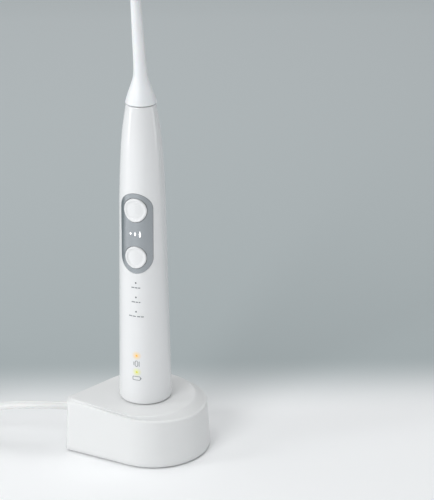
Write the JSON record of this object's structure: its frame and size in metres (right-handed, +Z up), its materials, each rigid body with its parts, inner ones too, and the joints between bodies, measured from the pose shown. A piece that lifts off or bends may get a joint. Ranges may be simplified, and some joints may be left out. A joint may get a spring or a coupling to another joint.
{
  "type": "electric toothbrush on charger",
  "caption": "Rechargeable electric toothbrush with a tapered handle, two front buttons and a leaning brush head, standing on a drop-shaped charging base with a coiled mains cord.",
  "frame": {"origin": "on the axis of the charging peg, in the plane that the charger stands on", "axes": "+Z up along the handle, -Y to the front, where the buttons face"},
  "size_m": [0.2266, 0.0945, 0.3031],
  "materials": {
    "handle_plastic": "satin moulded",
    "charger_plastic": "satin moulded",
    "panel_silver": "satin metallic lacquer",
    "button_plastic": "satin moulded",
    "brush_plastic": "satin moulded",
    "socket_plastic": "moulded",
    "white_bristle": "nylon filament",
    "blue_bristle": "nylon filament",
    "lens_clear": "polished",
    "lens_status": "polished",
    "grey_rubber": "matte",
    "inner_plastic": "moulded",
    "board_laminate": "solder mask",
    "chip_black": "moulded epoxy",
    "copper_wire": "enamelled wire",
    "ferrite": "sintered",
    "cell_wrap": "printed sleeve",
    "spring_steel": "ground",
    "magnet_plate": "nickel plated",
    "cord_vinyl": "soft vinyl",
    "plug_vinyl": "moulded vinyl",
    "blade_brass": "plated"
  },
  "bodies": {
    "charger": {"charger_housing": "charger_plastic", "base_cover": "charger_plastic", "foot_pad": "grey_rubber", "ferrite_core": "ferrite", "primary_coil_former": "inner_plastic", "primary_coil": "copper_wire", "charger_board": "board_laminate", "charger_capacitor": "chip_black", "charger_choke": "copper_wire", "charger_chip": "chip_black", "cord_grommet": "cord_vinyl", "cord_lead": "cord_vinyl", "cord_coil": "cord_vinyl", "cord_tail": "cord_vinyl", "plug_body": "plug_vinyl", "plug_blades": "blade_brass"},
    "handle": {"handle_shell": "handle_plastic", "front_panel": "panel_silver", "button_membrane": "grey_rubber", "level_lights": "lens_clear", "mode_lights": "lens_clear", "status_lights": "lens_status", "bottom_cap": "handle_plastic", "cap_seal": "grey_rubber", "receiver_bobbin": "inner_plastic", "receiver_coil": "copper_wire", "chassis": "inner_plastic", "battery_cell": "cell_wrap", "positive_contact": "spring_steel", "negative_contact": "spring_steel", "circuit_board": "board_laminate", "power_switch": "chip_black", "mode_switch": "chip_black", "main_chip": "chip_black", "motor_driver_chip": "chip_black", "charging_chip": "chip_black", "motor_can": "spring_steel", "motor_end_plate": "spring_steel", "rear_bearing": "spring_steel", "front_bearing": "spring_steel", "stator_coil": "copper_wire", "stator_poles": "spring_steel", "rear_damper": "grey_rubber", "front_damper": "grey_rubber", "shaft_seal": "grey_rubber"},
    "power_button": {"power_button": "button_plastic"},
    "mode_button": {"mode_button": "button_plastic"},
    "drive": {"drive_shaft": "spring_steel", "armature_magnet": "magnet_plate", "torsion_spring": "spring_steel"},
    "brush_head": {"brush_neck": "brush_plastic", "shaft_socket": "socket_plastic", "outer_tufts": "white_bristle", "indicator_tufts": "blue_bristle"}
  },
  "joints": [
    {"name": "handle_lift", "type": "slide", "parent": "charger", "child": "handle", "axis": [0, 0, 1], "range_m": [0, 0.03]},
    {"name": "power_press", "type": "slide", "parent": "handle", "child": "power_button", "axis": [0, 1, 0], "range_m": [0, 0.0006], "stiffness_N_per_m": 250},
    {"name": "mode_press", "type": "slide", "parent": "handle", "child": "mode_button", "axis": [0, 1, 0], "range_m": [0, 0.0006], "stiffness_N_per_m": 250},
    {"name": "shaft_sweep", "type": "hinge", "parent": "handle", "child": "drive", "pos_m": [0, 0, 0.2], "axis": [0, 0, 1], "range_deg": [-4, 4], "stiffness_Nm_per_rad": 0.05},
    {"name": "head_pull", "type": "slide", "parent": "drive", "child": "brush_head", "axis": [0, 0, 1], "range_m": [0, 0.03]}
  ]
}
